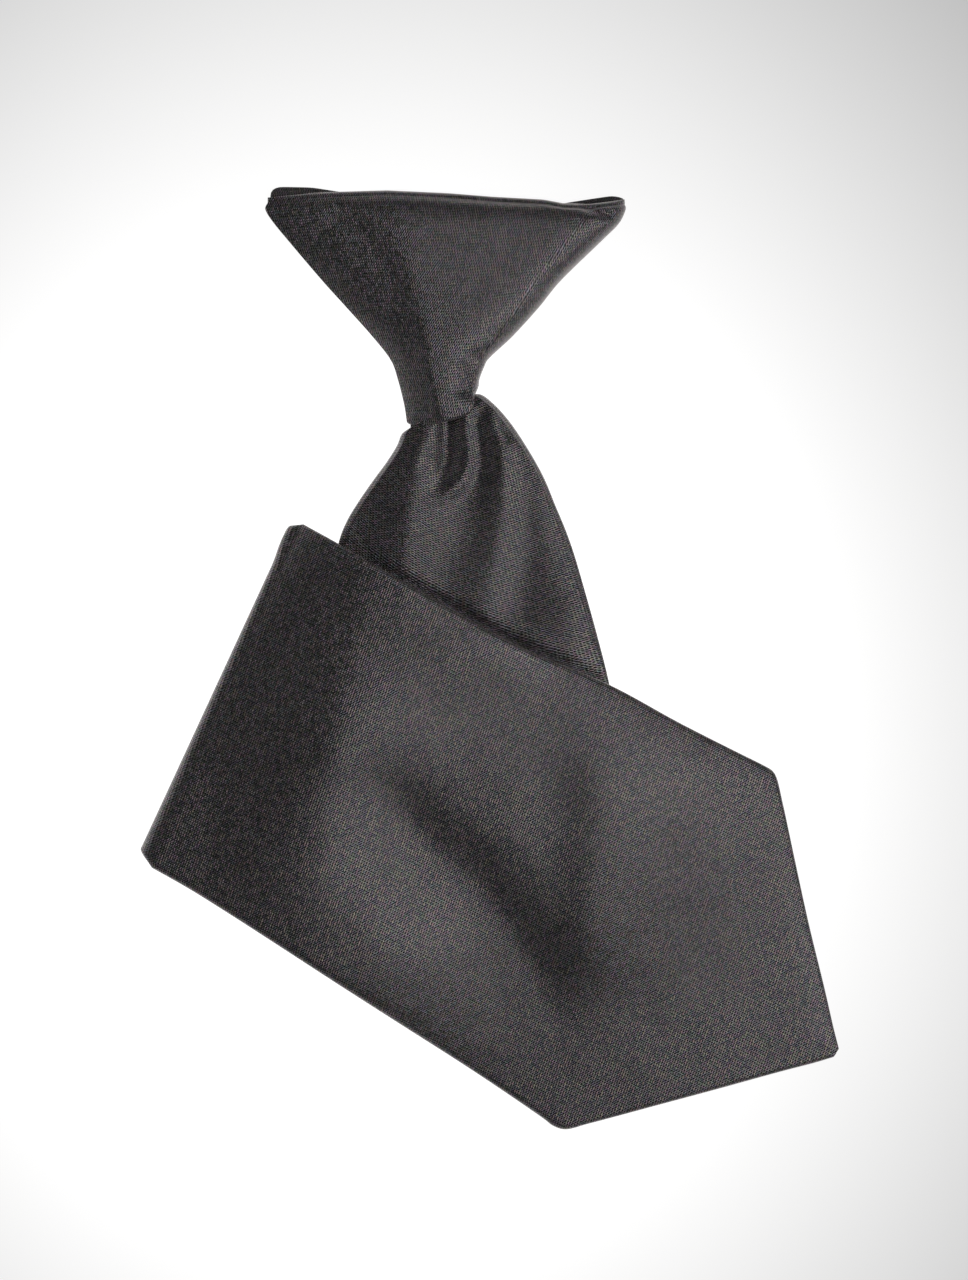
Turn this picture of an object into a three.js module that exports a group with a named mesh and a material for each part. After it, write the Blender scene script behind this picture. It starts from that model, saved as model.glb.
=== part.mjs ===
// Pre-tied neck tie of black satin on an elastic neck band, lying flat with its blade folded over.
// Millimetres, +Z up. The origin is the middle of the tie's footprint, on the surface that it lies on.
import * as THREE from "three";

// Driving dimensions
const WALL = 1.0; // satin with its backing cloth
const BLADE_THICK = 2.4; // flattened sleeve: front wall, hollow, back flaps
const LAYER_GAP = 0.4; // air between two layers of the folded blade
const SEAM_SLIT = 0.6; // between the two back flaps
const LIFT = BLADE_THICK + LAYER_GAP; // how far one layer raises the next
const TOP_EASE = 0.3; // the top layer lies a little looser on the first
const ROLL_AT_TOP = 2.2; // mid-cloth radius of the left fold, at its top end
const ROLL_AT_NOSE = 3.0; // and at its bottom end, the nose
const REACH_AT_TOP = 6; // how far the left fold's loft reaches into the top layer, at its top end
const REACH_AT_NOSE = 16; // and at the nose
const KNOT_WALL = 1.2; // front and back wall of the knot's hollow wrap
const FACING_THICK = 1.0;
const SEAT = 0.35; // air between a piece and the one that it is sewn to
const BAND_WIDTH = 6;
const BAND_THICK = 1.2;
const BAND_LIFT = BAND_THICK + SEAT; // how far the band raises the cloth over it
const BAND_CLIMB_FROM = 63.5; // Y where the band starts to rise from the surface
const BAND_CLIMB_TO = 75.0; // Y where it lies on the facing, with the knot over it
const LAYER_MARGIN = 5; // a layer is fully raised this far outside the edge of the one below it
const LAYER_RAMP = 8; // and comes down over this distance
const BAND_MARGIN = 1; // the same two distances over the neck band
const BAND_RAMP = 12;
const NECK_MID = 6.3; // height of the gathered neck's middle where it leaves the knot
const NECK_FROM = 28; // Y where the blade starts to rise towards the knot
const NECK_TO = 51; // Y where it reaches the knot's mouth

// Meshing
const FLAP_STEPS = 6; // across each back flap, and twice that across the front
const SIDE_ANGLES = [55, 0, -55]; // points round a blade's side edge, in degrees
const FOLD_STEPS = 5;
const FIRST_STATIONS = 30; // along the first layer, from inside the knot to the hidden fold
const UNDER_STATIONS = 3;
const TOP_STATIONS = 30;
const SLOPE_STEP = 0.02; // share of the width over which the cloth's slope is taken
const THIN_WALL_SHARE = 0.42; // where the tip is thinner than two walls, each wall is this share of it
const MOST_INSET = 0.3; // the hollow's side stays at most this share of the width from the edge
const LEAST_HOLLOW = 0.1; // half of the knot's hollow where it is thinnest
const HOLLOW_STOP = 0.6; // the knot's hollow ends this many rows below its top edge

// Edges of the blade seen from above, one row for each rung from edge to edge.
// The left edge in the direction of the cloth's travel is (lx, ly), the right edge (rx, ry).
const NECK_ROWS = [
  { lx: -13.2, ly: 84.0, rx: -6.4, ry: 85.0, thick: 2.8 },
  { lx: -13.8, ly: 70.0, rx: -5.6, ry: 71.5, thick: 4.3 },
  { lx: -14.8, ly: 59.0, rx: -5.2, ry: 63.0, thick: 5.6 },
  { lx: -15.0, ly: 55.0, rx: -5.2, ry: 59.8, thick: 5.8 },
  { lx: -15.1, ly: 51.4, rx: -4.9, ry: 57.2, thick: 5.8 },
  { lx: -17.5, ly: 49.6, rx: -1.8, ry: 57.2, thick: 5.6 },
  { lx: -18.8, ly: 48.6, rx: 0.8, ry: 55.4, thick: 5.6 },
  { lx: -19.8, ly: 46.2, rx: 4.4, ry: 51.5, thick: 5.6 },
  { lx: -21.9, ly: 42.8, rx: 8.4, ry: 45.6, thick: 5.0 },
  { lx: -24.9, ly: 38.7, rx: 12.0, ry: 39.2, thick: 4.4 },
  { lx: -28.1, ly: 34.1, rx: 14.5, ry: 33.2, thick: 3.6 },
  { lx: -30.7, ly: 29.8, rx: 16.8, ry: 27.7, thick: 3.0 },
  { lx: -32.5, ly: 25.2, rx: 18.6, ry: 22.6, thick: 2.6 },
  { lx: -34.0, ly: 14.0, rx: 21.0, ry: 14.4, thick: BLADE_THICK },
  { lx: -34.4, ly: -4.0, rx: 23.6, ry: 5.0, thick: BLADE_THICK },
  { lx: -34.2, ly: -24.0, rx: 26.2, ry: -5.4, thick: BLADE_THICK },
  { lx: -33.9, ly: -44.0, rx: 28.2, ry: -16.0, thick: BLADE_THICK },
  { lx: -33.5, ly: -65.1, rx: 29.8, ry: -27.9, thick: BLADE_THICK },
];
const FIRST_COVERED_ROW = 12; // from here on the first layer lies under the top layer
const UNDER_ROWS = [
  { lx: -33.5, ly: -65.1, rx: 29.8, ry: -27.9, thick: BLADE_THICK },
  { lx: -72.9, ly: -45.4, rx: -40.5, ry: 28.6, thick: BLADE_THICK },
];
const TOP_ROWS = [
  { lx: -72.9, ly: -45.4, rx: -40.5, ry: 28.6, thick: BLADE_THICK },
  { lx: -64.8, ly: -49.9, rx: -33.0, ry: 25.1, thick: BLADE_THICK },
  { lx: -56.9, ly: -54.7, rx: -23.0, ry: 19.2, thick: BLADE_THICK },
  { lx: -45.0, ly: -62.2, rx: -10.8, ry: 12.2, thick: BLADE_THICK },
  { lx: -29.6, ly: -72.2, rx: 6.8, ry: 2.5, thick: BLADE_THICK },
  { lx: -14.4, ly: -82.4, rx: 26.3, ry: -5.8, thick: BLADE_THICK },
  { lx: -0.5, ly: -91.7, rx: 41.4, ry: -14.0, thick: BLADE_THICK },
  { lx: 8.6, ly: -97.9, rx: 54.6, ry: -20.7, thick: BLADE_THICK },
  { lx: 12.3, ly: -100.5, rx: 60.0, ry: -23.4, thick: BLADE_THICK },
  { lx: 14.0, ly: -101.8, rx: 61.6, ry: -24.4, thick: BLADE_THICK },
  { lx: 16.6, ly: -102.6, rx: 62.5, ry: -25.8, thick: BLADE_THICK },
  { lx: 22.0, ly: -101.3, rx: 63.9, ry: -31.4, thick: BLADE_THICK },
  { lx: 37.2, ly: -97.2, rx: 66.9, ry: -45.1, thick: BLADE_THICK },
  { lx: 50.2, ly: -93.7, rx: 70.0, ry: -59.0, thick: BLADE_THICK },
  { lx: 63.3, ly: -90.1, rx: 73.2, ry: -72.0, thick: BLADE_THICK },
  { lx: 71.4, ly: -88.0, rx: 75.2, ry: -80.7, thick: 2.2 },
  { lx: 75.0, ly: -86.9, rx: 76.3, ry: -85.0, thick: 1.6 },
];

// Pleats on the front wall below the knot: a crest line, how wide it is and how far it stands out.
const PLEATS = [
  { name: "left ridge", width: 2.2, height: 1.0, path: [[-11.4, 50.6], [-15.7, 39.1]] },
  { name: "middle swell", width: 5.0, height: 1.2, path: [[-15.7, 39.1], [-12.7, 25.0]] },
  { name: "dimple", width: 2.0, height: -1.8, path: [[-8.4, 48.6], [-9.2, 41.0]] },
  {
    name: "hooked ridge",
    width: 1.6,
    height: 1.0,
    path: [[-4.7, 50.0], [-3.6, 44.8], [-5.6, 39.2], [-9.0, 36.6]],
  },
  { name: "groove", width: 2.0, height: -1.5, path: [[0.2, 52.0], [0.5, 40.0], [0.8, 33.9], [-2.1, 20.0]] },
  {
    name: "right ridge",
    width: 3.2,
    height: 0.9,
    path: [[3.4, 46.0], [3.8, 29.3], [-1.0, 18.0], [-2.5, 14.0]],
  },
];

// Crests of the top layer, which lift the whole sleeve.
const CRESTS = [
  {
    name: "crest over the layer below",
    width: 9,
    height: 1.8,
    path: [[-31.1, 14.8], [-34.4, -9.1], [-36.1, -28.6], [-30.1, -50.3], [-12.7, -70.9], [4.0, -87.0]],
  },
  {
    name: "crest across the middle",
    width: 7,
    height: 1.8,
    path: [[-4.0, -28.6], [12.3, -38.4], [22.0, -50.3], [22.5, -65.5], [21.6, -82.9]],
  },
];

// Sections of the knot from its mouth to its top edge: both side edges, the sag of the section's middle,
// and the heights of the back, the side edges and the front.
const KNOT_ROWS = [
  { lx: -17.7, ly: 51.2, rx: -2.1, ry: 59.1, sag: 3.2, back: 1.6, side: 6.0, front: 12.0, fullness: 3.2 },
  { lx: -18.3, ly: 55.0, rx: -1.9, ry: 60.6, sag: 2.2, back: 1.6, side: 6.0, front: 12.4, fullness: 3.2 },
  { lx: -19.6, ly: 60.2, rx: -0.9, ry: 63.2, sag: 1.2, back: 1.6, side: 5.8, front: 12.2, fullness: 3.0 },
  { lx: -21.2, ly: 64.6, rx: 0.3, ry: 65.2, sag: 0.6, back: 1.8, side: 5.6, front: 11.8, fullness: 2.8 },
  { lx: -25.2, ly: 69.8, rx: 5.2, ry: 69.8, sag: 0.2, back: 2.5, side: 5.4, front: 11.2, fullness: 2.6 },
  { lx: -30.9, ly: 76.2, rx: 11.0, ry: 76.2, sag: 0.0, back: 2.9, side: 5.2, front: 10.6, fullness: 2.5 },
  { lx: -36.2, ly: 82.1, rx: 15.8, ry: 82.1, sag: 0.0, back: 2.9, side: 5.0, front: 10.0, fullness: 2.5 },
  { lx: -43.5, ly: 90.7, rx: 24.6, ry: 90.7, sag: 0.0, back: 2.9, side: 4.8, front: 9.2, fullness: 2.5 },
  { lx: -46.8, ly: 94.8, rx: 28.3, ry: 94.4, sag: -0.6, back: 2.9, side: 4.7, front: 8.4, fullness: 2.5 },
  { lx: -48.5, ly: 98.0, rx: 29.8, ry: 97.3, sag: -1.0, back: 2.9, side: 4.6, front: 7.4, fullness: 2.6 },
  { lx: -48.0, ly: 99.8, rx: 29.6, ry: 98.4, sag: -1.2, back: 3.3, side: 4.5, front: 6.2, fullness: 2.8 },
];
const KNOT_ACROSS = 14; // steps across the knot's front, and across its back
const KNOT_STATIONS = 19;
const KNOT_MARGIN = 1.6; // how far the hollow stays from the side edges, in walls
const BACK_SAG = 0.2; // the back of a section sags this share of its front
const KNOT_FOLDS = [
  {
    name: "groove beside the middle",
    width: 2.2,
    height: -0.6,
    path: [[-26.8, 96.0], [-20.3, 84.2], [-15.9, 71.2], [-13.4, 58.0]],
  },
  { name: "dent at the waist", width: 1.6, height: -0.5, path: [[-2.9, 66.9], [-2.2, 63.4]] },
];

// Outline of the facing behind the wings
const FACING_OUTLINE = [
  [-28.0, 75.0], [-35.6, 82.3], [-42.9, 90.9], [-47.2, 96.2], [-47.6, 101.6], [-46.2, 102.6],
  [-38.5, 102.5], [-31.0, 101.4], [-5.0, 99.6], [12.0, 98.3], [17.5, 99.3], [27.2, 100.7],
  [30.0, 100.0], [29.4, 97.6], [24.0, 90.9], [15.2, 82.3], [8.0, 75.0],
];

// Route of the neck band's middle line, from the left wing round to the right wing
const BAND_ROUTE = [
  [-37.0, 94.0], [-28.0, 83.5], [-19.5, 73.0], [-14.5, 63.0], [-14.0, 52.0], [-14.4, 40.0], [-12.4, 28.5],
  [-7.0, 17.5], [-0.6, 8.0], [5.2, -0.6], [9.6, -4.6], [14.6, -4.6], [17.6, -0.6], [16.4, 5.4],
  [11.0, 13.8], [4.2, 24.0], [-2.2, 37.0], [-6.0, 52.0], [-6.0, 63.0], [-0.5, 73.0], [8.5, 83.5],
  [17.0, 93.5],
];
const BAND_STEPS = 76;

// Colours and finish
const SATIN = { color: 0x2c2a2b, roughness: 0.45, metalness: 0 };
const SATIN_REVERSE = { color: 0x232223, roughness: 0.7, metalness: 0 };
const ELASTIC = { color: 0x1b1b1c, roughness: 0.85, metalness: 0 };

const { lerp, smoothstep, degToRad } = THREE.MathUtils;
const UP = new THREE.Vector3(0, 0, 1);

function distanceToPath(x, y, path) {
  let least = Infinity;
  for (let i = 0; i + 1 < path.length; i++) {
    const [ax, ay] = path[i];
    const [bx, by] = path[i + 1];
    const along = ((x - ax) * (bx - ax) + (y - ay) * (by - ay)) / ((bx - ax) ** 2 + (by - ay) ** 2);
    const t = THREE.MathUtils.clamp(along, 0, 1);
    least = Math.min(least, Math.hypot(x - lerp(ax, bx, t), y - lerp(ay, by, t)));
  }
  return least;
}

// Height at (x, y) of a table of soft ridges and grooves.
function relief(x, y, folds) {
  const heightOf = (fold) => fold.height * Math.exp(-((distanceToPath(x, y, fold.path) / fold.width) ** 2));
  return folds.reduce((sum, fold) => sum + heightOf(fold), 0);
}

// 1 inside a convex outline and its margin, falling to 0 over a ramp outside them.
function insideness(x, y, corners, margin, ramp) {
  let nearest = Infinity;
  const mean = (k) => corners.reduce((sum, corner) => sum + corner[k] / corners.length, 0);
  const middle = [mean(0), mean(1)];
  corners.forEach(([ax, ay], i) => {
    const [bx, by] = corners[(i + 1) % corners.length];
    const side = (px, py) => ((bx - ax) * (py - ay) - (by - ay) * (px - ax)) / Math.hypot(bx - ax, by - ay);
    nearest = Math.min(nearest, side(x, y) * Math.sign(side(...middle)));
  });
  return smoothstep(nearest, -margin - ramp, -margin);
}

const cornersOf = (rows) => {
  const first = rows[0];
  const last = rows[rows.length - 1];
  return [[first.lx, first.ly], [first.rx, first.ry], [last.rx, last.ry], [last.lx, last.ly]];
};
const UNDER_AREA = cornersOf(UNDER_ROWS);
const FIRST_AREA = cornersOf(NECK_ROWS.slice(FIRST_COVERED_ROW));
const BAND_AREA = [[-18.5, 62], [-1, 62], [21, 3], [21.5, -3], [16, -8.5], [8, -8.5], [-18, 28]];

// Height of the cloth's middle in each layer. Every layer rests on those below it.
const underHeight = () => BLADE_THICK / 2;
const raisedByUnder = (x, y) => LIFT * insideness(x, y, UNDER_AREA, LAYER_MARGIN, LAYER_RAMP);
const raisedByBand = (x, y) => BAND_LIFT * insideness(x, y, BAND_AREA, BAND_MARGIN, BAND_RAMP);
const firstHeight = (x, y, thick = BLADE_THICK) => {
  const lying = thick / 2 + raisedByUnder(x, y) + raisedByBand(x, y);
  return lerp(lying, Math.max(NECK_MID, lying), smoothstep(y, NECK_FROM, NECK_TO));
};

// The left fold: a soft roll from the under layer up to the top layer.
const rollRadius = (f) => lerp(ROLL_AT_NOSE, ROLL_AT_TOP, f);
function topHeight(x, y) {
  const first = (LIFT + TOP_EASE) * insideness(x, y, FIRST_AREA, LAYER_MARGIN, LAYER_RAMP);
  const lying = BLADE_THICK / 2 + raisedByUnder(x, y) + raisedByBand(x, y) + first + relief(x, y, CRESTS);
  const { lx, ly, rx, ry } = TOP_ROWS[0];
  const along = ((x - lx) * (rx - lx) + (y - ly) * (ry - ly)) / ((rx - lx) ** 2 + (ry - ly) ** 2);
  const f = THREE.MathUtils.clamp(along, 0, 1);
  const away = Math.hypot(x - lerp(lx, rx, f), y - lerp(ly, ry, f));
  const roll = BLADE_THICK / 2 + 2 * rollRadius(f);
  return lerp(lying, roll, Math.exp(-((away / lerp(REACH_AT_NOSE, REACH_AT_TOP, f)) ** 2)));
}

// Stations along a flat stretch: smooth curves through the rows' edges, and the cloth between them.
function flatStations(rows, count, height) {
  const edge = (side) =>
    new THREE.CatmullRomCurve3(
      rows.map((r) => new THREE.Vector3(r[side + "x"], r[side + "y"], 0)),
      false,
      "centripetal",
    );
  const left = edge("l");
  const right = edge("r");
  return Array.from({ length: count }, (_, i) => {
    const t = i / (count - 1);
    const place = t * (rows.length - 1);
    const row = Math.min(Math.floor(place), rows.length - 2);
    const l = left.getPoint(t);
    const r = right.getPoint(t);
    const thick = lerp(rows[row].thick, rows[row + 1].thick, place - row);
    const at = (f) => {
      const p = l.clone().lerp(r, f);
      return p.setZ(height(p.x, p.y, thick));
    };
    return { at, width: l.distanceTo(r), thick };
  });
}

// Stations round a fold whose axis is a row: half a turn outwards from the lower layer to the upper one,
// or the other way round.
function foldStations(row, outward, lower, upper, upwards) {
  const l = new THREE.Vector3(row.lx, row.ly, 0);
  const r = new THREE.Vector3(row.rx, row.ry, 0);
  return Array.from({ length: FOLD_STEPS }, (_, i) => {
    const half = ((i + 1) / (FOLD_STEPS + 1)) * Math.PI;
    const turn = upwards ? half : Math.PI - half;
    const at = (f) => {
      const p = l.clone().lerp(r, f);
      const low = lower(p.x, p.y);
      const radius = (upper(p.x, p.y) - low) / 2;
      return p.addScaledVector(outward, radius * Math.sin(turn)).setZ(low + radius * (1 - Math.cos(turn)));
    };
    return { at, width: l.distanceTo(r), thick: row.thick };
  });
}

const outwardOf = (row, sign) =>
  new THREE.Vector3(row.rx - row.lx, row.ry - row.ly, 0).normalize().cross(UP).multiplyScalar(sign);

// The sleeve's section: points by the fraction across and the height from the cloth's middle.
function sleeveSection(width, thick) {
  const side = Math.min(thick / 2, width / 4) / width;
  const inset = Math.max(side, Math.min(WALL / width, MOST_INSET));
  const slit = Math.min(SEAM_SLIT / width, (0.5 - inset) / FLAP_STEPS) / 2;
  const outer = thick / 2;
  const inner = outer - Math.min(WALL, thick * THIN_WALL_SHARE);
  const steps = (from, to, h, front) => {
    const count = Math.round(Math.abs(to - from) * FLAP_STEPS);
    return Array.from({ length: count + 1 }, (_, i) => {
      const place = lerp(from, to, i / count); // -1 at one side edge, 1 at the other
      const gap = front || place !== 0 ? 0 : slit * Math.sign(from + to);
      return { f: 0.5 + place * (0.5 - inset) + gap, h, front };
    });
  };
  const round = (sign) =>
    SIDE_ANGLES.map((deg) => {
      const reach = side * (1 - Math.cos(degToRad(deg)));
      return { f: sign > 0 ? 1 - reach : reach, h: outer * Math.sin(degToRad(deg)), front: false };
    });
  return [
    ...steps(-1, 1, outer, true),
    ...round(1),
    ...steps(1, 0, -outer, false),
    ...steps(0, 1, -inner, false),
    ...steps(1, -1, inner, true),
    ...steps(-1, 0, -inner, false),
    ...steps(0, -1, -outer, false),
    ...round(-1).reverse(),
  ];
}

// A closed mesh from rings of points, capped by triangles over the first and the last ring.
// Each four-sided face is split along its shorter diagonal, so that the two sides of a thin wall match.
function closedMesh(rings, firstCap, lastCap) {
  const count = rings[0].length;
  const position = rings.flatMap((ring) => ring.flatMap((p) => [p.x, p.y, p.z]));
  const faces = [];
  rings.slice(1).forEach((ring, i) => {
    for (let k = 0; k < count; k++) {
      const next = (k + 1) % count;
      const [a, b] = [i * count + k, i * count + next];
      const rising = rings[i][k].distanceTo(ring[next]) < rings[i][next].distanceTo(ring[k]);
      if (rising) faces.push([a, b, b + count], [a, b + count, a + count]);
      else faces.push([a, b, a + count], [b, b + count, a + count]);
    }
  });
  const end = (rings.length - 1) * count;
  firstCap.forEach(([a, b, c]) => faces.push([a, c, b]));
  lastCap.forEach(([a, b, c]) => faces.push([end + a, end + b, end + c]));
  const point = (i) => new THREE.Vector3().fromArray(position, 3 * i);
  const volume = faces.reduce((sum, [a, b, c]) => sum + point(a).dot(point(b).cross(point(c))), 0);
  const outwards = volume < 0 ? faces.map(([a, b, c]) => [a, c, b]) : faces;
  const geometry = new THREE.BufferGeometry();
  geometry.setAttribute("position", new THREE.Float32BufferAttribute(position, 3));
  geometry.setIndex(outwards.flat());
  geometry.computeVertexNormals();
  return geometry;
}

// Triangles over an outline, turning the way that the outline itself does.
function capOf(outline) {
  const turns = Math.sign(THREE.ShapeUtils.area(outline));
  return THREE.ShapeUtils.triangulateShape(outline, []).map(([a, b, c]) => {
    const own = Math.sign(THREE.ShapeUtils.area([outline[a], outline[b], outline[c]]));
    return own === turns ? [a, b, c] : [a, c, b];
  });
}

function bladeGeometry() {
  const underFold = NECK_ROWS[NECK_ROWS.length - 1];
  const leftFold = TOP_ROWS[0];
  const stations = [
    ...flatStations(NECK_ROWS, FIRST_STATIONS, firstHeight),
    ...foldStations(underFold, outwardOf(underFold, 1), underHeight, firstHeight, false),
    ...flatStations(UNDER_ROWS, UNDER_STATIONS, underHeight),
    ...foldStations(leftFold, outwardOf(leftFold, -1), underHeight, topHeight, true),
    ...flatStations(TOP_ROWS, TOP_STATIONS, topHeight),
  ];
  const rings = stations.map((station, i) => {
    const before = stations[Math.max(i - 1, 0)];
    const after = stations[Math.min(i + 1, stations.length - 1)];
    const isFirstLayer = i < FIRST_STATIONS;
    return sleeveSection(station.width, station.thick).map(({ f, h, front }) => {
      const middle = station.at(f);
      const across = station.at(Math.min(f + SLOPE_STEP, 1)).sub(station.at(Math.max(f - SLOPE_STEP, 0)));
      const along = after.at(f).sub(before.at(f));
      const normal = across.cross(along).negate().normalize();
      const pleats = front && isFirstLayer ? relief(middle.x, middle.y, PLEATS) : 0;
      const pleat = Math.max(pleats, BLADE_THICK - station.thick); // a groove stays out of the back flaps
      return middle.addScaledVector(normal, h + pleat);
    });
  });
  const outlineOf = ({ width, thick }) =>
    sleeveSection(width, thick).map(({ f, h }) => new THREE.Vector2(f * width, h));
  return closedMesh(rings, capOf(outlineOf(stations[0])), capOf(outlineOf(stations[stations.length - 1])));
}

// One ring of the knot: across its front from left to right and home across its back.
function knotRing(row, hollow) {
  const l = new THREE.Vector3(row.lx, row.ly, 0);
  const r = new THREE.Vector3(row.rx, row.ry, 0);
  const inset = hollow ? (KNOT_MARGIN * KNOT_WALL) / l.distanceTo(r) : 0;
  const points = [];
  for (let i = 0; i < 2 * KNOT_ACROSS; i++) {
    const front = i < KNOT_ACROSS;
    const even = (i % KNOT_ACROSS) / KNOT_ACROSS;
    const spread = 0.5 - 0.5 * Math.cos(Math.PI * even); // closer together towards the sides
    const f = lerp(inset, 1 - inset, front ? spread : 1 - spread);
    const p = l.clone().lerp(r, f);
    p.y -= (front ? 1 : BACK_SAG) * row.sag * (1 - (2 * f - 1) ** 2);
    const swell = Math.sqrt(1 - Math.abs(2 * f - 1) ** row.fullness);
    const wall = hollow ? KNOT_WALL : 0;
    const top = row.side + (row.front - row.side) * swell + relief(p.x, p.y, KNOT_FOLDS) * swell - wall;
    const bottom = row.side - (row.side - row.back) * Math.sqrt(swell) + wall;
    const mid = (top + bottom) / 2;
    p.z = front ? Math.max(top, mid + LEAST_HOLLOW) : Math.min(bottom, mid - LEAST_HOLLOW);
    if (!hollow && (f === 0 || f === 1)) p.z = row.side;
    points.push(p);
  }
  return points;
}

function knotGeometry() {
  const rowAt = (place) => {
    const i = Math.min(Math.floor(place), KNOT_ROWS.length - 2);
    const blend = (key) => {
      const before = KNOT_ROWS[Math.max(i - 1, 0)][key];
      const after = KNOT_ROWS[Math.min(i + 2, KNOT_ROWS.length - 1)][key];
      const [a, b] = [KNOT_ROWS[i][key], KNOT_ROWS[i + 1][key]];
      const t = place - i;
      const [slopeA, slopeB] = [(b - before) / 2, (after - a) / 2];
      const ease = t * t * (3 - 2 * t);
      return lerp(a, b, ease) + slopeA * t * (1 - t) ** 2 - slopeB * t * t * (1 - t);
    };
    return Object.fromEntries(Object.keys(KNOT_ROWS[0]).map((key) => [key, blend(key)]));
  };
  const last = KNOT_ROWS.length - 1;
  const places = Array.from({ length: KNOT_STATIONS }, (_, i) => (i / (KNOT_STATIONS - 1)) * last);
  const inner = places.filter((p) => p < last - HOLLOW_STOP).map((p) => knotRing(rowAt(p), true));
  const outer = places.map((p) => knotRing(rowAt(p), false));
  const rings = [...inner.reverse(), ...outer];
  const flat = (ring) => capOf(ring.map((p) => new THREE.Vector2(p.x, p.z)));
  return closedMesh(rings, flat(rings[0]), flat(rings[rings.length - 1]));
}

function facingGeometry() {
  const shape = new THREE.Shape(FACING_OUTLINE.map(([x, y]) => new THREE.Vector2(x, y)));
  return new THREE.ExtrudeGeometry(shape, { depth: FACING_THICK, bevelEnabled: false });
}

function bandGeometry() {
  const route = new THREE.CatmullRomCurve3(BAND_ROUTE.map(([x, y]) => new THREE.Vector3(x, y, 0)));
  const rings = Array.from({ length: BAND_STEPS + 1 }, (_, i) => {
    const middle = route.getPointAt(i / BAND_STEPS);
    const aside = route.getTangentAt(i / BAND_STEPS).cross(UP).multiplyScalar(BAND_WIDTH / 2);
    const raised = (FACING_THICK + SEAT) * smoothstep(middle.y, BAND_CLIMB_FROM, BAND_CLIMB_TO);
    const corner = (side, z) => middle.clone().addScaledVector(aside, side).setZ(raised + z);
    return [corner(-1, 0), corner(1, 0), corner(1, BAND_THICK), corner(-1, BAND_THICK)];
  });
  const cap = [[0, 1, 2], [0, 2, 3]];
  return closedMesh(rings, cap, cap);
}

function piece(name, geometry, finish) {
  const mesh = new THREE.Mesh(geometry, new THREE.MeshStandardMaterial(finish));
  mesh.name = name;
  return mesh;
}

const tie = new THREE.Group();
tie.add(
  piece("blade", bladeGeometry(), SATIN),
  piece("knot_wrap", knotGeometry(), SATIN),
  piece("knot_back", facingGeometry(), SATIN_REVERSE),
  piece("neck_elastic", bandGeometry(), ELASTIC),
);

export default tie;
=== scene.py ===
"""The looks of a pre-tied satin neck tie on an elastic band, lying flat with its blade folded over.

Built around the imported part. Sizes in the tables are millimetres in the part's own frame, +Z up.
"""

import math

import bpy
import numpy as np
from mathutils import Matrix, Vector


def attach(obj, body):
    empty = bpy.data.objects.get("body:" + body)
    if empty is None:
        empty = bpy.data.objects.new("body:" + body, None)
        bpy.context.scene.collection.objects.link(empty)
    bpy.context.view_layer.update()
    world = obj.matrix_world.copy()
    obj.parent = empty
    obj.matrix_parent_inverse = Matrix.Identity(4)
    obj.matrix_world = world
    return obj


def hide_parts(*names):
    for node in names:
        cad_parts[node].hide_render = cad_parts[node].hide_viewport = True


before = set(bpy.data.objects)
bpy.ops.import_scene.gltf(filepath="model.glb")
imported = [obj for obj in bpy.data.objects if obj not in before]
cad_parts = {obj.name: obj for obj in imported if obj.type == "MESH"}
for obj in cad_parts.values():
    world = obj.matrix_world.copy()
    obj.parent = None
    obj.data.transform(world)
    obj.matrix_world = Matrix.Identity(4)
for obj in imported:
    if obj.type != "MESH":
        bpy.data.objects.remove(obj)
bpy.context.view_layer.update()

MM = 0.001
IMAGE_HEIGHT_PX = 1280
MM_PER_PX = 0.217
LENS_MM = 120.0
SENSOR_MM = 36.0
CLIP_NEAR, CLIP_FAR = 0.01, 20.0
VIEW_CENTRE = (-0.98, 3.95)
EYE_ABOVE = 5.0  # height of the plane that the photograph's scale holds for

# Blade
WALL = 1.0
THICK = 2.4
LAYER_GAP = 0.4
SEAM_SLIT = 0.6
LIFT = THICK + LAYER_GAP
TOP_EASE = 0.3
ROLL_AT_TOP = 1.4  # mid-cloth radius of the left fold at its two ends
ROLL_AT_NOSE = 2.9
TENT_AT_TOP = 17.0  # how far the top layer is stretched between the left fold and the layer under it
TENT_AT_NOSE = 38.0
TENT_POWER = (1.8, 2.0)
FOLD_LEAN = 0.5  # the slope at which the left fold runs into the top layer
FOLD_SWELL = (0.0, 0.9)  # how much the top layer still rises past the fold, at its nose and at its top
FOLD_SWELL_OVER = 2.4
CORNER_FROM = 0.86  # the left fold's top corner is blunt: it bulges out and down from here along the fold
CORNER_OUT = 0.9
CORNER_DOWN = 1.3
NOSE_TO = 0.05  # and its bottom corner is rounded up to here
NOSE_UP = 1.8
BAND_THICK = 1.2
SEAT = 0.35
BAND_LIFT = BAND_THICK + SEAT
NECK_MID = 6.3
NECK_FROM = 8.0
NECK_TO = 54.0

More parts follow.
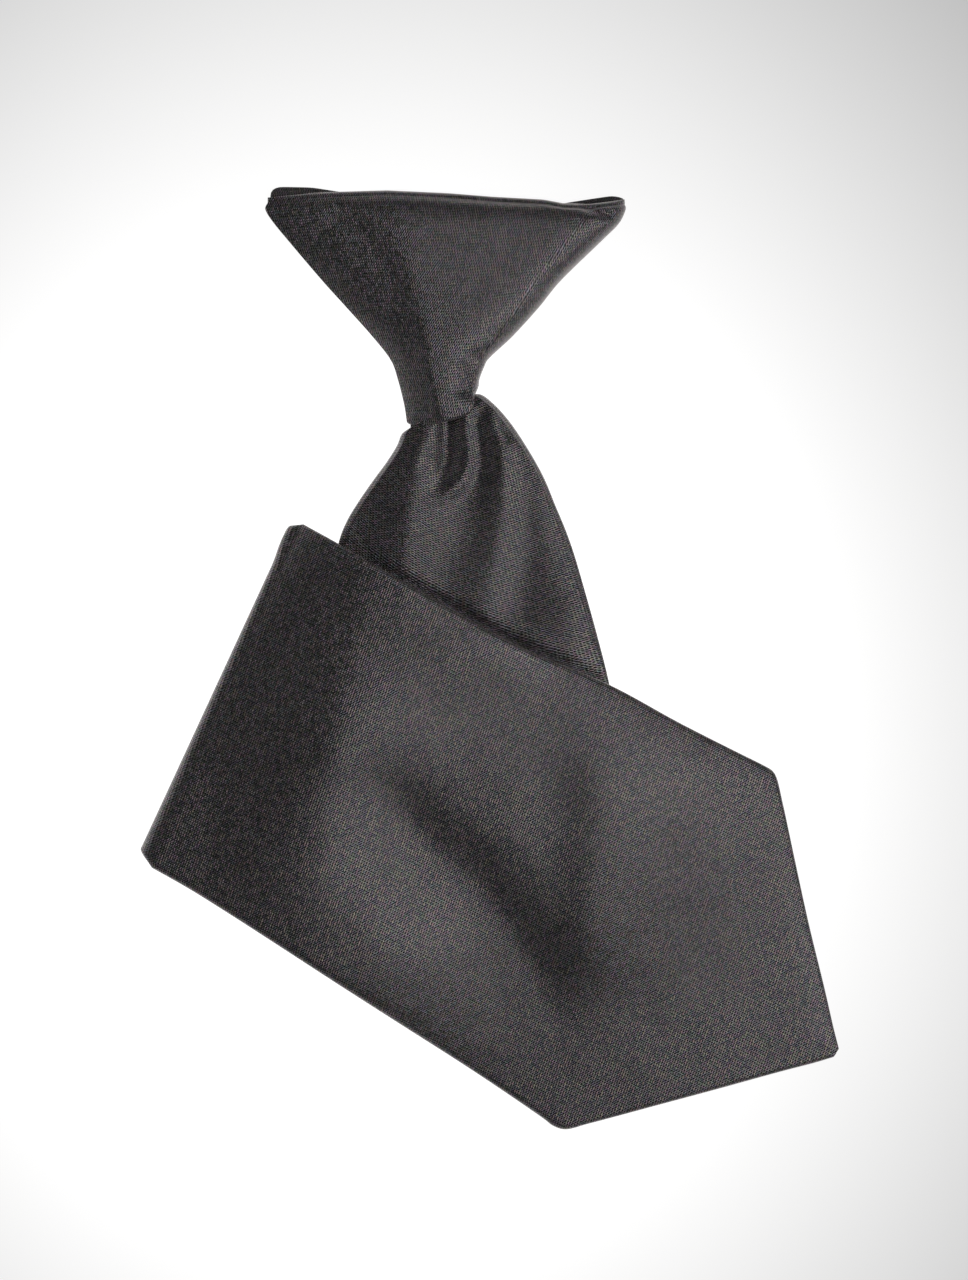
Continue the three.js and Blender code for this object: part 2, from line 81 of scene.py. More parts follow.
# Edges of the blade seen from above: left x, left y, right x, right y, thickness
FIRST_ROWS = [
    (-13.2, 84.0, -6.4, 85.0, 2.8),
    (-13.8, 70.0, -5.6, 71.5, 4.3),
    (-14.8, 59.0, -5.2, 63.0, 5.6),
    (-15.0, 55.0, -5.2, 59.8, 5.8),
    (-15.1, 51.4, -4.9, 57.2, 5.8),
    (-17.5, 49.6, -1.8, 57.2, 5.6),
    (-18.8, 48.6, 0.8, 55.4, 5.6),
    (-19.8, 46.2, 4.4, 51.5, 5.6),
    (-21.9, 42.8, 8.4, 45.6, 5.0),
    (-24.9, 38.7, 12.0, 39.2, 4.4),
    (-28.1, 34.1, 14.5, 33.2, 3.6),
    (-30.7, 29.8, 16.8, 27.7, 3.0),
    (-32.5, 25.2, 18.6, 22.6, 2.6),
    (-34.0, 14.0, 21.0, 14.4, THICK),
    (-34.4, -4.0, 23.6, 5.0, THICK),
    (-34.2, -24.0, 26.2, -5.4, THICK),
    (-33.9, -44.0, 28.2, -16.0, THICK),
    (-33.5, -65.1, 29.8, -27.9, THICK),
]
FIRST_COVERED_ROW = 12
UNDER_ROWS = [
    (-33.5, -65.1, 29.8, -27.9, THICK),
    (-72.9, -45.4, -40.2, 29.1, THICK),
]
TOP_ROWS = [
    (-72.9, -45.4, -40.2, 29.1, THICK),
    (-64.8, -49.9, -33.0, 25.1, THICK),
    (-56.9, -54.7, -23.0, 19.2, THICK),
    (-45.0, -62.2, -10.8, 12.2, THICK),
    (-29.6, -72.2, 6.8, 2.5, THICK),
    (-14.4, -82.4, 26.3, -5.8, THICK),
    (-0.5, -91.7, 41.4, -14.0, THICK),
    (8.6, -97.9, 54.6, -20.7, THICK),
    (12.3, -100.5, 60.0, -23.4, THICK),
    (14.0, -101.8, 61.6, -24.4, THICK),
    (16.6, -102.6, 62.5, -25.8, THICK),
    (22.0, -101.3, 63.9, -31.4, THICK),
    (37.2, -97.2, 66.9, -45.1, THICK),
    (50.2, -93.7, 70.0, -59.0, THICK),
    (63.3, -90.1, 73.2, -72.0, THICK),
    (71.4, -88.0, 75.2, -80.7, 2.2),
    (75.0, -86.9, 76.3, -85.0, 1.6),
]

# Over how far a layer comes down past each side of the one below it: sides in the order of the corners
UNDER_MARGIN = 1.5
UNDER_RAMPS = (45.0, 60.0, 10.0, 14.0)
FIRST_RAMPS = (8.0, 50.0, 45.0, 300.0)

# Soft folds: path, width to the left of it and to the right as it runs, height (each is one number or some
# along the path), the shares of the path over which it comes and goes, and how sharp it is (2 is round)
PLEATS = [
    {
        "path": [(-13.6, 50.0), (-15.0, 42.0), (-16.1, 34.0), (-17.2, 26.0), (-17.8, 16.0), (-17.5, 6.0)],
        "left": 16.0, "right": 9.0, "height": 2.6, "fade": (0.3, 0.5), "sharp": 1.6,
    },
    {
        "path": [(-12.0, 50.8), (-13.8, 46.5), (-15.3, 43.0), (-16.4, 39.0)],
        "left": 2.0, "right": 3.6, "height": 0.9, "fade": (0.0, 0.5),
    },
    {
        "path": [(-10.7, 50.6), (-11.0, 45.6), (-11.8, 40.8), (-12.4, 37.0)],
        "left": 1.4, "right": 1.4, "height": 0.45, "fade": (0.0, 0.5),
    },
    {
        "path": [(-9.4, 51.0), (-9.2, 46.0), (-9.8, 40.5), (-11.2, 36.5), (-12.6, 33.5)],
        "left": 2.8, "right": 2.2, "height": -1.2, "fade": (0.0, 0.65),
    },
    {
        "path": [
            (-2.5, 55.0), (-4.9, 52.3), (-5.0, 48.9), (-4.6, 45.8), (-4.6, 41.9), (-6.2, 38.4),
            (-9.9, 35.3), (-14.5, 34.0),
        ],
        "left": 1.8, "right": 2.6, "height": 1.1, "fade": (0.0, 0.25), "sharp": 2.2,
    },
    {
        "path": [
            (1.0, 53.5), (1.8, 48.9), (2.8, 41.9), (3.0, 36.0), (2.9, 31.4), (2.2, 24.5), (0.8, 18.0),
            (-1.0, 10.0), (-3.0, 2.0),
        ],
        "left": (2.6, 3.0, 3.6, 3.8, 4.0), "right": (2.8, 3.8, 7.0, 7.2, 7.2), "height": 1.8,
        "fade": (0.0, 0.35),
    },
    {
        "path": [(7.6, 52.0), (11.6, 42.0), (15.4, 32.0), (18.8, 22.0), (21.8, 12.0), (25.0, 0.0)],
        "left": 6.0, "right": (5.0, 8.5, 12.0, 12.0, 12.0), "height": 2.4, "fade": (0.1, 0.2),
    },
]
# The first layer dips beside the edge that lies over it
EDGE_DIP = {
    "path": [
        (-44.0, 31.2), (-33.0, 25.6), (-23.0, 19.8), (-10.8, 12.8), (6.8, 3.1), (26.3, -5.2), (34.0, -8.4),
    ],
    "left": 1.1, "right": 4.0, "height": -0.8, "fade": (0.7, 0.0),
}
CRESTS = [
    {
        "path": [
            (-27.8, 26.0), (-27.8, 10.0), (-30.5, -3.0), (-33.5, -14.0), (-37.0, -26.0), (-37.0, -38.0),
            (-33.0, -52.0), (-25.0, -64.0), (-13.0, -75.5), (0.0, -87.0),
        ],
        "left": 18.0, "right": (24.0, 28.0, 32.0, 36.0, 36.0), "height": (3.4, 3.4, 3.3, 3.2, 3.2),
        "fade": (0.4, 0.3),
    },
    {
        "path": [(-2.0, 16.0), (0.0, 4.0), (6.0, -10.0)],
        "left": 18.0, "right": 28.0, "height": 2.4, "fade": (0.0, 0.5),
    },
    {
        "path": [(-8.0, -42.0), (28.0, -52.0)],
        "left": 45.0, "right": 45.0, "height": 2.6,
    },
    {
        "path": [
            (-34.0, -19.0), (-27.0, -27.0), (-15.5, -40.0), (-2.5, -51.0), (6.5, -63.0), (12.0, -76.0),
            (15.0, -90.0),
        ],
        "left": (11.0, 9.0, 8.0, 7.5, 7.5), "right": 20.0, "height": (-1.6, -2.0, -2.2, -1.95, -1.8),
        "fade": (0.3, 0.35),
    },
    {
        "path": [(25.0, -6.0), (25.2, -28.0), (23.8, -45.0), (22.3, -60.0), (21.5, -76.0)],
        "left": 10.0, "right": (7.5, 7.5, 6.5, 6.0, 6.0), "height": 1.1, "fade": (0.25, 0.3),
    },
]

# Sections of the knot from its mouth to its top edge
KNOT_ROWS = [
    # lx, ly, rx, ry, sag, back, side, front, fullness
    (-17.7, 51.2, -2.1, 59.1, 3.2, 1.6, 7.2, 12.0, 3.2),
    (-18.3, 55.0, -1.9, 60.6, 2.2, 1.6, 7.2, 12.4, 3.2),
    (-19.6, 60.2, -0.9, 63.2, 1.2, 1.6, 6.9, 12.2, 3.0),
    (-21.2, 64.6, 0.3, 65.2, 0.6, 1.8, 6.4, 12.0, 2.8),
    (-25.2, 69.8, 5.2, 69.8, 0.2, 2.5, 5.4, 11.6, 3.6),
    (-30.9, 76.2, 11.0, 76.2, 0.0, 2.9, 4.8, 11.1, 6.0),
    (-36.2, 82.1, 15.8, 82.1, 0.0, 2.8, 4.0, 10.6, 9.0),
    (-43.5, 90.7, 24.6, 90.7, 0.0, 2.6, 3.5, 9.9, 13.0),
    (-46.8, 94.8, 28.3, 94.4, -0.6, 2.6, 3.4, 9.5, 13.0),
    (-48.5, 98.0, 29.8, 97.3, -1.0, 2.6, 3.4, 8.7, 13.0),
    (-48.0, 99.8, 29.6, 98.4, -1.2, 2.7, 3.4, 7.3, 13.0),
]
KNOT_WALL = 1.2
KNOT_MARGIN = 1.6  # how far the hollow stays from the knot's sides, in walls
BACK_SAG = 0.2  # the share of the sag that the back has
HOLLOW_STOP = 0.6  # how far before the last row the hollow ends
LEAST_HOLLOW = 0.1  # half its least height
MOUTH_EDGE = [
    (-17.7, 51.4), (-14.9, 50.8), (-12.3, 50.8), (-10.0, 51.3), (-7.1, 52.1),
    (-4.9, 52.7), (-3.4, 53.6), (-2.6, 55.4), (-2.7, 56.9), (-2.1, 59.1),
]
TOP_EDGE = [
    (-48.0, 99.8), (-44.0, 100.2), (-41.4, 100.4), (-38.6, 100.7), (-35.0, 100.9), (-30.0, 101.0),
    (-22.0, 101.2), (-9.0, 100.6), (1.0, 99.8), (12.0, 99.2), (16.2, 98.4), (21.7, 98.2), (26.5, 98.8),
    (29.6, 99.4),
]
KNOT_FOLDS = [
    {
        "path": [
            (-35.5, 99.0), (-31.8, 96.4), (-28.2, 92.0), (-25.8, 88.6), (-23.0, 83.2), (-21.0, 79.3),
            (-19.4, 74.7), (-17.8, 69.3), (-16.5, 62.8), (-15.6, 57.3), (-14.9, 51.0),
        ],
        "left": 3.4, "right": 6.5, "height": -0.6, "fade": (0.12, 0.0),
    },
    {
        "path": [
            (-31.0, 92.0), (-28.1, 87.4), (-25.1, 82.0), (-22.1, 76.0), (-19.6, 69.9), (-17.8, 63.9),
            (-16.6, 57.8), (-15.7, 51.5),
        ],
        "left": 1.6, "right": 5.0, "height": 0.1, "fade": (0.25, 0.0),
    },
    {
        "path": [(-4.0, 68.5), (-3.9, 63.5), (-4.6, 58.5), (-5.4, 54.5)],
        "left": 2.4, "right": 2.2, "height": -0.8, "fade": (0.3, 0.3),
    },
    {
        "path": [(19.5, 97.8), (23.5, 96.7), (27.6, 95.5)],
        "left": 0.9, "right": 1.0, "height": -1.0, "fade": (0.2, 0.2),
    },
    {
        "path": [(-14.0, 99.9), (-2.0, 99.2), (16.0, 97.6)],
        "left": 0.8, "right": 1.2, "height": -0.35, "fade": (0.3, 0.2),
    },
]

FACING_OUTLINE = [
    (-28.0, 75.0), (-35.6, 82.3), (-42.9, 90.9), (-47.2, 96.2), (-47.6, 101.6), (-46.2, 102.6),
    (-38.5, 102.5), (-31.0, 101.4), (-5.0, 99.6), (12.0, 98.3), (17.5, 99.3), (27.2, 100.7),
    (30.0, 100.0), (29.4, 97.6), (24.0, 90.9), (15.2, 82.3), (8.0, 75.0),
]
FACING_THICK = 1.0

BAND_ROUTE = [
    (-37.0, 94.0), (-28.0, 83.5), (-19.5, 73.0), (-14.5, 63.0), (-14.0, 52.0), (-14.4, 40.0), (-12.4, 28.5),
    (-7.0, 17.5), (-0.6, 8.0), (5.2, -0.6), (9.6, -4.6), (14.6, -4.6), (17.6, -0.6), (16.4, 5.4),
    (11.0, 13.8), (4.2, 24.0), (-2.2, 37.0), (-6.0, 52.0), (-6.0, 63.0), (-0.5, 73.0), (8.5, 83.5),
    (17.0, 93.5),
]
BAND_AREA = [
    (-18.5, 62.0), (-1.0, 62.0), (21.0, 3.0), (21.5, -3.0), (16.0, -8.5), (8.0, -8.5), (-18.0, 28.0),
]
BAND_WIDTH = 6.0
BAND_MARGIN = 1.0
BAND_CLIMB = (63.5, 75.0)
BAND_RAMPS = (45.0, 45.0, 45.0, 45.0, 45.0, 120.0, 60.0)  # over how far the cloth comes down past the band

# Weave: how far apart the float rows are, and their angle to the cloth's length
FLOAT_ROWS = ((0.514, 100.0), (0.623, 3.5))


# Camera
def make_camera():
    camera = bpy.data.objects.new("camera", bpy.data.cameras.new("camera"))
    bpy.context.scene.collection.objects.link(camera)
    camera.data.lens = LENS_MM
    camera.data.sensor_width = SENSOR_MM
    tall = IMAGE_HEIGHT_PX * MM_PER_PX
    away = LENS_MM / SENSOR_MM * tall
    camera.location = Vector((VIEW_CENTRE[0], VIEW_CENTRE[1], EYE_ABOVE + away)) * MM
    camera.data.clip_start, camera.data.clip_end = CLIP_NEAR, CLIP_FAR
    bpy.context.scene.camera = camera


make_camera()


# Shapes
PATH_STEPS = 6  # straight pieces for each step of a fold's path


def lerp(a, b, t):
    return a + (b - a) * t


def smoothstep(x, low, high):
    t = np.clip((x - low) / (high - low), 0, 1)
    return t * t * (3 - 2 * t)


def smooth_curve(points, t):
    """Points at t, 0 to 1, of a smooth curve through the given points."""
    p = np.asarray(points, float)
    p = np.vstack([2 * p[0] - p[1], p, 2 * p[-1] - p[-2]])
    place = np.clip(np.asarray(t, float), 0, 1) * (len(points) - 1)
    i = np.minimum(place.astype(int), len(points) - 2)
    w = (place - i)[:, None]
    a, b, c, d = p[i], p[i + 1], p[i + 2], p[i + 3]

    def knot(u, v):
        return np.maximum(np.linalg.norm(v - u, axis=1), 1e-9)[:, None] ** 0.5

    ab, bc, cd = knot(a, b), knot(b, c), knot(c, d)
    start = ((b - a) / ab - (c - a) / (ab + bc) + (c - b) / bc) * bc
    end = ((c - b) / bc - (d - b) / (bc + cd) + (d - c) / cd) * bc
    return b + start * w + (-3 * b + 3 * c - 2 * start - end) * w**2 + (2 * b - 2 * c + start + end) * w**3


def length_along(line):
    """How far along it each point of a line is."""
    return np.concatenate([[0], np.cumsum(np.linalg.norm(np.diff(line, axis=0), axis=1))])


def at_length(line, gone, wanted):
    """Points of a line at the wanted lengths along it."""
    return np.column_stack([np.interp(wanted, gone, line[:, k]) for k in (0, 1)])


def along_path(gone, value):
    """A value that may change along a path: one number, or some spaced evenly from its start to its end."""
    values = np.atleast_1d(value)
    return np.interp(gone, np.linspace(0, 1, len(values)), values)


def soft_fold(x, y, fold):
    """Height of one fold: full on its path, and falling off over its width on either side."""
    count = PATH_STEPS * (len(fold["path"]) - 1) + 1
    path = smooth_curve(fold["path"], np.linspace(0, 1, count))
    least = np.full(x.shape, 1e9)
    side = np.zeros(x.shape)
    gone = np.zeros(x.shape)
    for i, ((ax, ay), (bx, by)) in enumerate(zip(path[:-1], path[1:])):
        dx, dy = bx - ax, by - ay
        long = math.hypot(dx, dy)
        t = np.clip(((x - ax) * dx + (y - ay) * dy) / long**2, 0, 1)
        away = np.hypot(x - ax - t * dx, y - ay - t * dy)
        lateral = (dx * (y - ay) - dy * (x - ax)) / long
        nearer = away < least
        least = np.where(nearer, away, least)
        side = np.where(nearer, lateral / np.maximum(away, 1e-6), side)
        gone = np.where(nearer, (i + t) / (count - 1), gone)
    left, right = (along_path(gone, fold[key]) for key in ("left", "right"))
    width = lerp(right, left, 0.5 + 0.5 * np.clip(side, -1, 1))
    come, go = fold.get("fade", (0.0, 0.0))
    share = np.ones(x.shape)
    if come:
        share = share * smoothstep(gone, 0, come)
    if go:
        share = share * smoothstep(1 - gone, 0, go)
    return along_path(gone, fold["height"]) * share * np.exp(-((least / width) ** fold.get("sharp", 2.0)))


def relief(x, y, folds):
    return sum(soft_fold(x, y, fold) for fold in folds)


def covering(x, y, corners, ramps, margin=0.0):
    """1 over a convex outline, coming down past each of its sides over that side's ramp."""
    corners = np.asarray(corners, float)
    middle = corners.mean(0)
    ramps = np.broadcast_to(ramps, len(corners))
    cover = np.ones(x.shape)
    for (ax, ay), (bx, by), ramp in zip(corners, np.roll(corners, -1, 0), ramps):
        long = math.hypot(bx - ax, by - ay)

        def side(px, py):
            return ((bx - ax) * (py - ay) - (by - ay) * (px - ax)) / long

        inward = side(x, y) * np.sign(side(*middle))
        cover = cover * smoothstep(inward, -margin - ramp, -margin)
    return cover


def corners_of(rows):
    first, last = rows[0], rows[-1]
    return [first[0:2], first[2:4], last[2:4], last[0:2]]


UNDER_AREA = corners_of(UNDER_ROWS)
FIRST_AREA = corners_of(FIRST_ROWS[FIRST_COVERED_ROW:])


def raised_by_under(x, y):
    return LIFT * covering(x, y, UNDER_AREA, UNDER_RAMPS, UNDER_MARGIN)


def under_height(x, y, thick=THICK):
    """Height of the under layer's middle, which lies flat whatever its thickness."""
    return np.full(x.shape, THICK / 2)


def first_height(x, y, thick=THICK):
    """Height of the first layer's middle, over the under layer and the band and up to the knot's mouth."""
    over_band = BAND_LIFT * covering(x, y, BAND_AREA, BAND_RAMPS, BAND_MARGIN)
    lying = thick / 2 + raised_by_under(x, y) + over_band
    return lying + np.maximum(NECK_MID - lying, 0) * smoothstep(y, NECK_FROM, NECK_TO)


def first_dipped(x, y, thick=THICK):
    return first_height(x, y, thick) + soft_fold(x, y, EDGE_DIP)


def top_height(x, y, thick=THICK):
    """Height of the top layer's middle, over the other layers and stretched from the left fold."""
    over_first = (LIFT + TOP_EASE + relief(x, y, PLEATS)) * covering(x, y, FIRST_AREA, FIRST_RAMPS)
    lying = first_height(x, y) + over_first + relief(x, y, CRESTS)
    lx, ly, rx, ry = TOP_ROWS[0][:4]
    dx, dy = rx - lx, ry - ly
    f = np.clip(((x - lx) * dx + (y - ly) * dy) / (dx * dx + dy * dy), 0, 1)
    away = np.hypot(x - lx - dx * f, y - ly - dy * f)
    swell = lerp(*FOLD_SWELL, f) * (1 - np.exp(-away / FOLD_SWELL_OVER))
    roll = THICK / 2 + 2 * lerp(ROLL_AT_NOSE, ROLL_AT_TOP, f) + swell
    near = np.clip(1 - away / lerp(TENT_AT_NOSE, TENT_AT_TOP, f), 0, 1)
    return lerp(lying, roll, near ** lerp(*TENT_POWER, f))


# Meshes
def mesh_object(name, points, faces, uv, material):
    """A mesh from points in millimetres. uv gives each point its place on the flat cloth, in millimetres."""
    mesh = bpy.data.meshes.new(name)
    mesh.from_pydata((np.asarray(points) * MM).tolist(), [], faces)
    layer = mesh.uv_layers.new(name="cloth")
    loops = np.zeros(len(mesh.loops), int)
    mesh.loops.foreach_get("vertex_index", loops)
    layer.data.foreach_set("uv", np.asarray(uv, np.float32)[loops].ravel())
    mesh.polygons.foreach_set("use_smooth", [True] * len(mesh.polygons))
    mesh.materials.append(material)
    mesh.update()
    obj = bpy.data.objects.new(name, mesh)
    bpy.context.scene.collection.objects.link(obj)
    return obj


def ring_faces(rings, count, flip=False):
    """Faces between closed rings of points, with the first and the last ring filled."""
    i = np.arange(rings - 1)[:, None] * count
    k = np.arange(count)[None, :]
    n = (k + 1) % count
    faces = np.stack([i + k, i + n, i + n + count, i + k + count], -1).reshape(-1, 4)
    if flip:
        faces = faces[:, ::-1]
    first = list(range(count))
    last = [(rings - 1) * count + j for j in range(count)]
    caps = [first, last[::-1]] if flip else [first[::-1], last]
    return faces.tolist() + caps


def unit(v):
    return v / np.maximum(np.linalg.norm(v, axis=-1, keepdims=True), 1e-12)


# Cloth coordinates
TOP_AXIS = math.radians(-29.5)  # the blade's length in the top layer
FAN_APEX = (-14.0, 150.0)  # the first layer's threads fan out from the knot
FAN_RADIUS = 120.0


def cloth_of_top(x, y):
    c, s = math.cos(TOP_AXIS), math.sin(TOP_AXIS)
    return np.stack([c * x + s * y, -s * x + c * y], -1)


def cloth_of_first(x, y):
    dx, dy = x - FAN_APEX[0], FAN_APEX[1] - y
    return np.stack([np.hypot(dx, dy), FAN_RADIUS * np.arctan2(dx, dy)], -1)


# Blade
FRONT_STEPS = 66
FLAP_STEPS = 12
INNER_STEPS = 18
SIDE_ANGLES = np.radians([72, 48, 24, 0, -24, -48, -72])
SIDE_REACH = 1.3  # how far the rounded edge reaches in from the outline
EDGE_DROP = (0.0, 0.5)  # how much lower the front is at its left and its right edge
EDGE_REACH = 4.0
LEAST_RISE = 0.4  # the least height that the drop leaves
INNER_DROP = 0.3  # how much of the drop the front wall's inside takes
CROWDING = 0.35  # how much closer a wall's points come towards its edges
WALL_SHARE = 0.42  # a wall is at most this share of the thickness
INSET_SHARE = 0.3  # the hollow starts at most this share of the width from an edge


def sleeve_section(width, thick):
    """The sleeve's section: fraction across, height from the cloth's middle, front or not, place unrolled."""
    side = min(SIDE_REACH, width / 4) / width
    inset = max(side, min(WALL / width, INSET_SHARE))
    slit = min(SEAM_SLIT / width, (0.5 - inset) / FLAP_STEPS) / 2
    outer = thick / 2
    inner = outer - min(WALL, thick * WALL_SHARE)
    beyond = math.pi * outer / width
    right_turn = 2 - 2 * inset + beyond
    left_turn = 2 * inset - beyond
    f, h, front, flat = [], [], [], []

    def drop(here):
        away = np.minimum(here, 1 - here) * width
        most = np.minimum(np.where(here < 0.5, *EDGE_DROP), outer - LEAST_RISE)
        return most * np.exp(-((away / EDGE_REACH) ** 2))

    def wall(start, end, steps, height, turn=None):
        """One side of a wall. A flap unrolls about its turn; the front, which has none, stays where it is."""
        place = lerp(start, end, np.linspace(0, 1, steps + 1))
        eased = np.sin(place * math.pi / 2) * CROWDING + place * (1 - CROWDING)
        here = 0.5 + eased * (0.5 - inset)
        if turn is not None:
            here = here + np.where(np.abs(place) < 1e-9, slit * np.sign(start + end), 0)
        share = 0.0 if turn is not None else 1.0 if height == outer else INNER_DROP
        f.extend(here)
        h.extend(height - share * drop(here))
        front.extend([turn is None] * len(here))
        flat.extend(here if turn is None else turn - here)

    def edge(sign):
        """The rounded edge on the right (1) or the left (-1)."""
        reach = side * (1 - np.cos(SIDE_ANGLES))
        around = outer * (math.pi / 2 - SIDE_ANGLES) / width
        lowered = outer - drop(np.array([max(sign, 0)]))[0]
        rise = np.sin(SIDE_ANGLES) * np.where(SIDE_ANGLES > 0, lowered, outer)
        order = slice(None, None, sign)
        f.extend((1 - reach if sign > 0 else reach)[order])
        h.extend(rise[order])
        front.extend([False] * len(SIDE_ANGLES))
        flat.extend((1 - inset + around if sign > 0 else inset - around)[order])

    wall(-1, 1, FRONT_STEPS, outer)
    edge(1)
    wall(1, 0, FLAP_STEPS, -outer, right_turn)
    wall(0, 1, FLAP_STEPS, -inner, right_turn)
    wall(1, -1, INNER_STEPS, inner)
    wall(-1, 0, FLAP_STEPS, -inner, left_turn)
    wall(0, -1, FLAP_STEPS, -outer, left_turn)
    edge(-1)
    return np.array(f), np.array(h), np.array(front), np.array(flat)


def flat_stations(rows, count, height, cloth, layer):
    """Stations along a layer: where the section's middle lies, and where its points are on the flat cloth."""
    t = np.linspace(0, 1, count)
    left = smooth_curve([r[0:2] for r in rows], t)
    right = smooth_curve([r[2:4] for r in rows], t)
    thick = np.interp(t * (len(rows) - 1), np.arange(len(rows)), [r[4] for r in rows])

    def station(i):
        def across(f):
            return left[i] + (right[i] - left[i]) * f[:, None]

        def at(f):
            p = across(f)
            return np.column_stack([p, height(p[:, 0], p[:, 1], thick[i])])

        def plan(f):
            p = across(f)
            return cloth(p[:, 0], p[:, 1])

        width = float(np.linalg.norm(right[i] - left[i]))
        return {"at": at, "cloth": plan, "width": width, "thick": float(thick[i]), "layer": layer}

    return [station(i) for i in range(count)]


def fold_stations(row, sign, lower, upper, upwards, steps, cloth, lean=0.0):
    """Stations around a fold. With a lean, it stops short by that angle and its two corners are blunt."""
    left, right = np.array(row[0:2]), np.array(row[2:4])
    along = unit(right - left)
    outward = np.array([along[1], -along[0]]) * sign
    whole = steps if lean else steps + 1
    width = float(np.linalg.norm(right - left))

    def station(i):
        half = (i + 1) / whole * (math.pi - lean)
        turn = half if upwards else math.pi - half

        def base(f):
            p = left + (right - left) * f[:, None]
            low = lower(p[:, 0], p[:, 1])
            return p, low, (upper(p[:, 0], p[:, 1]) - low) / 2

        def at(f):
            p, low, radius = base(f)
            out, up = radius, np.zeros(len(f))
            if lean:
                blunt = smoothstep(f, CORNER_FROM, 1)
                out = out + CORNER_OUT * blunt
                up = NOSE_UP * (1 - smoothstep(f, 0, NOSE_TO)) - CORNER_DOWN * blunt
            p = p + (outward * out[:, None] + along * up[:, None]) * math.sin(turn)
            return np.column_stack([p, low + radius * (1 - math.cos(turn))])

        def plan(f):
            p, low, radius = base(f)
            p = p + outward * (radius * (math.pi - turn))[:, None]
            return cloth(p[:, 0], p[:, 1])

        return {"at": at, "cloth": plan, "width": width, "thick": row[4], "layer": "fold"}

    return [station(i) for i in range(steps)]


def cloth_of_under(x, y):
    """The under layer, turned back about the left fold on to the top layer's plane."""
    lx, ly, rx, ry = TOP_ROWS[0][:4]
    along = unit(np.array([rx - lx, ry - ly]))
    outward = np.array([-along[1], along[0]])
    away = (x - lx) * outward[0] + (y - ly) * outward[1]
    shift = math.pi * (ROLL_AT_TOP + ROLL_AT_NOSE) / 2 - 2 * away
    return cloth_of_top(x + outward[0] * shift, y + outward[1] * shift)


FIRST_STATIONS, UNDER_FOLD_STATIONS, UNDER_STATIONS = 154, 7, 12
LEFT_FOLD_STATIONS, TOP_STATIONS = 13, 161
PROBE = 0.02  # how far aside, as a share of the width, the cloth's slope is measured


def blade_stations():
    first = flat_stations(FIRST_ROWS, FIRST_STATIONS, first_dipped, cloth_of_first, "first")
    under_fold = fold_stations(
        FIRST_ROWS[-1], 1, under_height, first_height, False, UNDER_FOLD_STATIONS, cloth_of_first
    )
    under = flat_stations(UNDER_ROWS, UNDER_STATIONS, under_height, cloth_of_under, "under")
    left_fold = fold_stations(
        TOP_ROWS[0], -1, under_height, top_height, True, LEFT_FOLD_STATIONS, cloth_of_top, FOLD_LEAN
    )
    top = flat_stations(TOP_ROWS, TOP_STATIONS, top_height, cloth_of_top, "top")
    return first + under_fold + under + left_fold + top


def blade_mesh(material):
    stations = blade_stations()
    last = len(stations) - 1
    points, uv = [], []
    for i, s in enumerate(stations):
        f, h, front, flat = sleeve_section(s["width"], s["thick"])
        middle, ahead, behind = (s["at"](p) for p in (f, np.minimum(f + PROBE, 1), np.maximum(f - PROBE, 0)))
        before = stations[max(i - 1, 0)]["at"](f)
        after = stations[min(i + 1, last)]["at"](f)
        normal = -unit(np.cross(ahead - behind, after - before))
        lift = np.zeros(len(f))
        if s["layer"] == "first":
            lift = np.where(front, relief(middle[:, 0], middle[:, 1], PLEATS), 0)
            lift = np.maximum(lift, THICK - s["thick"])
        points.append(middle + normal * (h + lift)[:, None])
        uv.append(s["cloth"](flat))
    faces = ring_faces(len(stations), len(points[0]))
    return mesh_object("blade_satin", np.concatenate(points), faces, np.concatenate(uv), material)


# Knot
KNOT_ACROSS = 84
KNOT_ALONG = 110
LIP_STEPS = 4
RIM_STEPS = 6
LEFT_FLAT = (0.18, 0.28)  # the share of the left half that is as high as the middle, at mouth and top
LEFT_SLOPE = (1.35, 0.9)  # how the rest of it falls away: a rounder shoulder, and a steeper side
MOUTH_ROWS = 2.2  # the mouth's and the top edge's own lines fade out over this many rows
TOP_EDGE_ROWS = 2.5
RIM_REACH = 1.1
RIM_INSIDE = 0.7  # how much of the rim's reach lies inside the top edge's line
RIM_TURN = 0.97  # the share of a quarter turn that the rim makes
LIP_BULGE = 0.45  # how far the lip stands out, in walls
INNER_EVERY = 3  # the hollow has one ring for this many outside


def knot_row(place):
    rows = np.array(KNOT_ROWS)
    i = min(int(place), len(rows) - 2)
    t = place - i
    a, b = rows[i], rows[i + 1]
    before, after = rows[max(i - 1, 0)], rows[min(i + 2, len(rows) - 1)]
    slope_a, slope_b = (b - before) / 2, (after - a) / 2
    ease = t * t * (3 - 2 * t)
    return lerp(a, b, ease) + slope_a * t * (1 - t) ** 2 - slope_b * t * t * (1 - t)


def along_line(points, f):
    """Points at fractions f of the length of a line through points."""
    fine = smooth_curve(points, np.linspace(0, 1, 200))
    gone = length_along(fine)
    return at_length(fine, gone, f * gone[-1])


def chord(row, f, bow):
    """A row's line from its left to its right corner, bent down by its sag."""
    line = row[0:2] + (row[2:4] - row[0:2]) * f[:, None]
    line[:, 1] -= row[4] * bow
    return line


